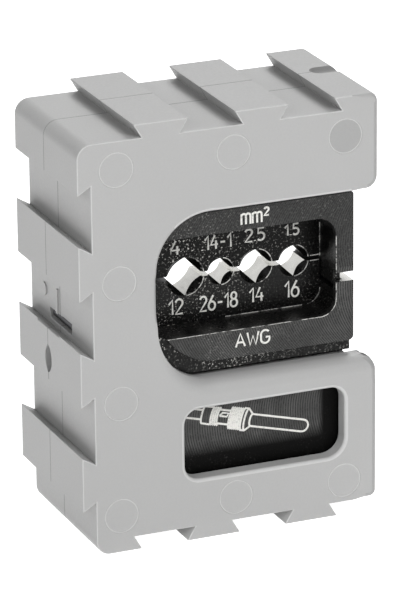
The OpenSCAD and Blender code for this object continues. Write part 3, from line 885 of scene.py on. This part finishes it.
def lay_beads(name, strokes, group, width, relief, material):
    """Beads along strokes that all lie at one depth."""
    values = {"Stroke Width": width, "Relief": relief, "Face Depth": strokes[0][0].y, "Material": material}
    return grow(path_mesh(name, strokes), group, values)


# Settings

class MagazineSettings(bpy.types.PropertyGroup):
    """Sizes and colours of the moulded magazine."""
    plastic_colour: FloatVectorProperty(
        name="Plastic", description="Colour of the moulded shells", subtype="COLOR", size=3,
        default=(0.50, 0.50, 0.497), min=0.0, max=1.0)
    rounding_steps: IntProperty(
        name="Rounding Steps", description="Facets in each rounded edge", default=3, min=1, max=6)


class DieSettings(bpy.types.PropertyGroup):
    """Finish of the dies and their figures."""
    steel_colour: FloatVectorProperty(
        name="Black Oxide", description="Colour of the blackened steel", subtype="COLOR", size=3,
        default=(0.0172, 0.0172, 0.0168), min=0.0, max=1.0)
    speck_colour: FloatVectorProperty(
        name="Specks", description="Colour of the bright specks in the oxide", subtype="COLOR", size=4,
        default=(0.60, 0.59, 0.56, 1.0), min=0.0, max=1.0)
    bright_colour: FloatVectorProperty(
        name="Bright Steel", description="Colour of the ground nests", subtype="COLOR", size=3,
        default=(0.66, 0.655, 0.63), min=0.0, max=1.0)
    figure_colour: FloatVectorProperty(
        name="Figures", description="Colour of the marked figures", subtype="COLOR", size=3,
        default=(0.92, 0.91, 0.87), min=0.0, max=1.0)
    stroke_width: FloatProperty(
        name="Stroke Width", description="Width of a marked stroke", subtype="DISTANCE", default=0.33 * MM)
    relief: FloatProperty(
        name="Relief", description="Height of a marked stroke", subtype="DISTANCE", default=0.02 * MM)
    cutter_radius: FloatProperty(
        name="Cutter Radius", description="Radius of the cutter that milled the dies", subtype="DISTANCE",
        default=12.3 * MM)
    cutter_feed: FloatProperty(
        name="Cutter Feed", description="Spacing of the cutter's marks", subtype="DISTANCE", default=0.4 * MM)


class StudioSettings(bpy.types.PropertyGroup):
    """Camera and lights."""
    azimuth: FloatProperty(
        name="Azimuth", description="Turn of the camera round the object", subtype="ANGLE",
        default=math.radians(-22.53))
    elevation: FloatProperty(
        name="Elevation", description="Height of the camera above the horizon", subtype="ANGLE",
        default=math.radians(19.60))
    roll: FloatProperty(
        name="Roll", description="Turn of the picture about its centre", subtype="ANGLE",
        default=math.radians(-0.60))
    distance: FloatProperty(
        name="Distance", description="From the camera to the middle of the object", subtype="DISTANCE",
        default=0.7007)
    lens: FloatProperty(
        name="Focal Length", description="For a picture whose long side is 36 mm", subtype="DISTANCE_CAMERA",
        default=279.12)
    left_power: FloatProperty(
        name="Left", description="Power of the softbox on the left", subtype="POWER", default=5.1)
    front_power: FloatProperty(
        name="Front", description="Power of the front softbox", subtype="POWER", default=8.8)
    back_power: FloatProperty(
        name="Back", description="Power of the softbox behind on the right", subtype="POWER", default=7.4)
    table_glow: FloatProperty(
        name="Table Glow", description="Light given off by the white table", default=0.42)
    ambient: FloatProperty(name="Ambient", description="Strength of the room's even light", default=0.01)


# Operators

class DressShells(bpy.types.Operator):
    """Round the edges of the moulded shells and give them their grain"""
    bl_idname = "die_magazine.dress_shells"
    bl_label = "Moulded Shells"

    def execute(self, context):
        look = context.scene.magazine_settings
        # Lighter and darker copies of the grey plastic: the pale one paints highlights, the darkest paints
        # shade, and the darker one paints shade on the right front edge and darkens the last ejector mark's
        # disc
        tones = {"case_plastic": 1.0, "darker_plastic": 0.84, "painted_highlight_plastic": 1.32, "painted_shade_plastic": 0.55}
        plastics = [moulded_plastic(name, shade(look.plastic_colour, tone)) for name, tone in tones.items()]
        group = stroke_group()
        for side in ("front", "rear"):
            finish_node(f"{side}_shell", f"{side}_shell_moulded", "magazine", "case_plastic", plastics,
                        shell_radius, shell_face, steps=look.rounding_steps)
            # The rings are low beads in the pale plastic, which paints a highlight round each ejector mark
            paths = ejector_rings(side == "rear")
            rings = lay_beads(f"{side}_ejector_rings", paths, group, 0.2 * MM, 0.05 * MM, plastics[PLASTIC_HIGHLIGHT])
            hand_over(rings, "magazine", "case_plastic")
        return {"FINISHED"}


class DressDies(bpy.types.Operator):
    """Give both dies their black oxide and ground nests"""
    bl_idname = "die_magazine.dress_dies"
    bl_label = "Dies"

    def execute(self, context):
        look = context.scene.die_settings
        black = blackened_steel("black_steel", look)
        bright = ground_steel("bright_nests", look.bright_colour, 0.22, 0.12)
        highlight_steel = painted_highlight_steel("painted_highlight_edges", look)
        group = stroke_group()
        for die in DIES:
            body = f"{die}_die_set"
            finish_node(f"{die}_die", f"{die}_die_finished", body, "black_steel", [black, bright, highlight_steel],
                        die_radius, die_face, steps=2)
            # Thin beads in the highlight steel paint highlights along the nest rims, the meeting edge and the
            # pocket's corner
            paths = painted_highlight_lines(die)
            lines = lay_beads(f"{die}_die_worn_lines", paths, group, 0.16 * MM, 0.015 * MM, highlight_steel)
            hand_over(lines, body, "bright_steel")
        return {"FINISHED"}


class MarkFigures(bpy.types.Operator):
    """Mark the wire sizes and the contact symbol on the dies"""
    bl_idname = "die_magazine.mark_figures"
    bl_label = "Figures"

    def execute(self, context):
        look = context.scene.die_settings
        pale = marked_figures("marked_figures", look.figure_colour)
        group = stroke_group()
        for die, texts in zip(DIES, (UPPER_TEXTS, LOWER_TEXTS)):
            layers = {}
            for text in texts:
                layers.setdefault(text[-1], []).extend(set_text(*text))
            if die == "lower":
                layers[BODY_Y] = contact_symbol()
            beads = [lay_beads(f"{die}_strokes", strokes, group, look.stroke_width, look.relief, pale)
                     for strokes in layers.values()]
            hand_over(join(beads, f"{die}_die_figures"), f"{die}_die_set", "bright_steel")
        return {"FINISHED"}


class DressFittings(bpy.types.Operator):
    """Finish the dowels, ball plungers and the retaining clip"""
    bl_idname = "die_magazine.dress_fittings"
    bl_label = "Fittings"

    def execute(self, context):
        ground = ground_steel("ground_dowels", (0.62, 0.62, 0.63), 0.25, 0.1)
        turned = ground_steel("turned_sleeve", (0.22, 0.22, 0.23), 0.35, 0.1)
        strip = ground_steel("spring_strip", (0.07, 0.07, 0.075), 0.35, 0.2)
        polished = ground_steel("polished_ball", (0.85, 0.85, 0.86), 0.1, 0.3)
        finish_node("retaining_clip", "retaining_clip_bent", "magazine", "spring_steel", [strip],
                    small_radius)
        for die in DIES:
            body = f"{die}_die_set"
            for side in ("left", "right"):
                node = f"{die}_dowel_{side}"
                finish_node(node, f"{node}_ground", body, "bright_steel", [ground], small_radius)
            node = f"{die}_plunger_body"
            finish_node(node, f"{node}_turned", body, "plunger_steel", [turned], small_radius, steps=2)
            node = f"{die}_plunger_ball"
            finish_node(node, f"{node}_polished", f"{die}_ball", "ball_steel", [polished], small_radius)
        return {"FINISHED"}


class WindSprings(bpy.types.Operator):
    """Wind the compression springs behind the balls"""
    bl_idname = "die_magazine.wind_springs"
    bl_label = "Springs"

    def execute(self, context):
        wire = ground_steel("spring_wire", (0.45, 0.46, 0.48), 0.3, 0.08)
        group = coil_group()
        for die in DIES:
            low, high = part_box(f"{die}_plunger_spring")
            foot = Vector(((low.x + high.x) / 2, low.y, (low.z + high.z) / 2))
            coil = path_mesh(f"{die}_plunger_coil", [[Vector(), Vector((0.0, MM, 0.0))]])
            values = {"Wire Radius": WIRE_R, "Coil Radius": (high.x - low.x) / 2 - WIRE_R,
                      "Length": high.y - low.y, "Material": wire}
            grow(coil, group, values)
            coil.data.transform(Matrix.Translation(foot))
            hand_over(coil, f"{die}_die_set", "spring_steel", f"{die}_plunger_spring")
            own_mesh(coil)
        return {"FINISHED"}


class SetStudio(bpy.types.Operator):
    """Put up the floor, lights and camera"""
    bl_idname = "die_magazine.set_studio"
    bl_label = "Studio"

    def execute(self, context):
        look = context.scene.studio_settings
        make_floor(look.table_glow)
        make_world(look.ambient)
        make_lights(look)
        make_camera(look)
        context.scene.view_settings.view_transform = "Standard"
        return {"FINISHED"}


def join(pieces, name):
    """Joins pieces into one with a new name."""
    first = pieces[0]
    with bpy.context.temp_override(active_object=first, selected_editable_objects=pieces):
        bpy.ops.object.join()
    first.name = name
    first.data.name = name
    return first


# Studio, in metres

FLOOR_HALF = 3.0
BOX_SIZE = 0.7
BOX_DISTANCE = 1.35


def make_floor(glow):
    """A white table that keeps the object's shadow and looks white to the camera."""
    mesh = bpy.data.meshes.new("studio_floor")
    corners = [(x * FLOOR_HALF, y * FLOOR_HALF, 0.0) for x, y in ((-1, -1), (1, -1), (1, 1), (-1, 1))]
    mesh.from_pydata(corners, [], [(0, 1, 2, 3)])
    floor = bpy.data.objects.new("studio_floor", mesh)
    bpy.context.scene.collection.objects.link(floor)
    material = bpy.data.materials.new("floor_paper")
    material.use_nodes = True
    tree = material.node_tree
    tree.nodes.clear()
    paper = add_node(tree, "ShaderNodeBsdfDiffuse", {"Color": grey(0.8)}).outputs[0]
    strength = spread(tree, seen_directly(tree), 0.0, 1.0, glow, 0.95)
    light = add_node(tree, "ShaderNodeEmission", {"Strength": strength}).outputs[0]
    surface = add_node(tree, "ShaderNodeAddShader", {0: paper, 1: light}).outputs[0]
    add_node(tree, "ShaderNodeOutputMaterial", {"Surface": surface})
    mesh.materials.append(material)


def seen_directly(tree):
    """1 for what the camera sees, directly or in gloss and glass."""
    path = add_node(tree, "ShaderNodeLightPath").outputs
    shiny = calc(tree, "MAXIMUM", path["Is Glossy Ray"], path["Is Transmission Ray"])
    return calc(tree, "MAXIMUM", path["Is Camera Ray"], shiny)


def make_world(ambient):
    """White to the camera, dim on matt surfaces, and in gloss white behind and dark on the camera's side."""
    world = bpy.data.worlds.new("studio")
    bpy.context.scene.world = world
    world.use_nodes = True
    tree = world.node_tree
    tree.nodes.clear()
    seen = add_node(tree, "ShaderNodeTexCoord").outputs["Generated"]
    way = add_node(tree, "ShaderNodeSeparateXYZ", {0: seen}).outputs
    mirrored = spread(tree, way[1], -0.2, 0.4, 0.12, 1.0)
    path = add_node(tree, "ShaderNodeLightPath").outputs
    strength = spread(tree, path["Is Glossy Ray"], 0.0, 1.0, ambient, mirrored)
    direct = calc(tree, "MAXIMUM", path["Is Camera Ray"], path["Is Transmission Ray"])
    strength = spread(tree, direct, 0.0, 1.0, strength, 1.0)
    light = add_node(tree, "ShaderNodeBackground", {"Color": grey(1.0), "Strength": strength}).outputs[0]
    add_node(tree, "ShaderNodeOutputWorld", {"Surface": light})


def direction(turn, height):
    """Which way lies a turn from the front, and a height above the horizon."""
    return Vector((math.sin(turn) * math.cos(height), -math.cos(turn) * math.cos(height), math.sin(height)))


def make_lights(look):
    """Soft boxes in front, behind and to the left, each at a turn from the front and a height in degrees."""
    middle = (CAD_LOW + CAD_HIGH) / 2
    boxes = (
        ("left_box", -60, 30, look.left_power),
        ("front_box", 10, 40, look.front_power),
        ("back_box", 150, 50, look.back_power),
    )
    for name, turn, height, power in boxes:
        data = bpy.data.lights.new(name, "AREA")
        data.size = BOX_SIZE
        data.energy = power
        lamp = bpy.data.objects.new(name, data)
        bpy.context.scene.collection.objects.link(lamp)
        lamp.location = direction(math.radians(turn), math.radians(height)) * BOX_DISTANCE
        lamp.rotation_euler = (middle - lamp.location).to_track_quat("-Z", "Y").to_euler()


def make_camera(look):
    """The photograph's camera, aimed at the middle of the object."""
    data = bpy.data.cameras.new("photo_camera")
    data.lens = look.lens
    data.clip_start = 0.01
    camera = bpy.data.objects.new("photo_camera", data)
    bpy.context.scene.collection.objects.link(camera)
    aim = at(24.25, 12.55, 33.20)
    away = direction(look.azimuth, look.elevation)
    turn = away.to_track_quat("Z", "Y").to_matrix().to_4x4()
    place = Matrix.Translation(aim + away * look.distance)
    camera.matrix_world = place @ turn @ Matrix.Rotation(look.roll, 4, "Z")
    bpy.context.scene.camera = camera


# Add-on

PARTS = (DressShells, DressDies, MarkFigures, DressFittings, WindSprings, SetStudio)
SETTINGS = {
    "magazine_settings": MagazineSettings,
    "die_settings": DieSettings,
    "studio_settings": StudioSettings,
}


class MagazinePanel(bpy.types.Panel):
    """Lists the magazine's pieces and their settings"""
    bl_idname = "VIEW3D_PT_die_magazine"
    bl_label = "Die Magazine"
    bl_space_type = "VIEW_3D"
    bl_region_type = "UI"
    bl_category = "Die Magazine"

    def draw(self, context):
        for part in PARTS:
            self.layout.operator(part.bl_idname)
        for key, settings in SETTINGS.items():
            box = self.layout.box()
            for name in settings.__annotations__:
                box.prop(getattr(context.scene, key), name)


def register():
    for settings in SETTINGS.values():
        bpy.utils.register_class(settings)
    for part in PARTS:
        bpy.utils.register_class(part)
    bpy.utils.register_class(MagazinePanel)
    for key, settings in SETTINGS.items():
        setattr(bpy.types.Scene, key, PointerProperty(type=settings))


def unregister():
    for key in SETTINGS:
        delattr(bpy.types.Scene, key)
    bpy.utils.unregister_class(MagazinePanel)
    for part in reversed(PARTS):
        bpy.utils.unregister_class(part)
    for settings in reversed(list(SETTINGS.values())):
        bpy.utils.unregister_class(settings)


def main():
    register()
    for part in PARTS:
        group, name = part.bl_idname.split(".")
        getattr(getattr(bpy.ops, group), name)()


if __name__ == "__main__":
    main()
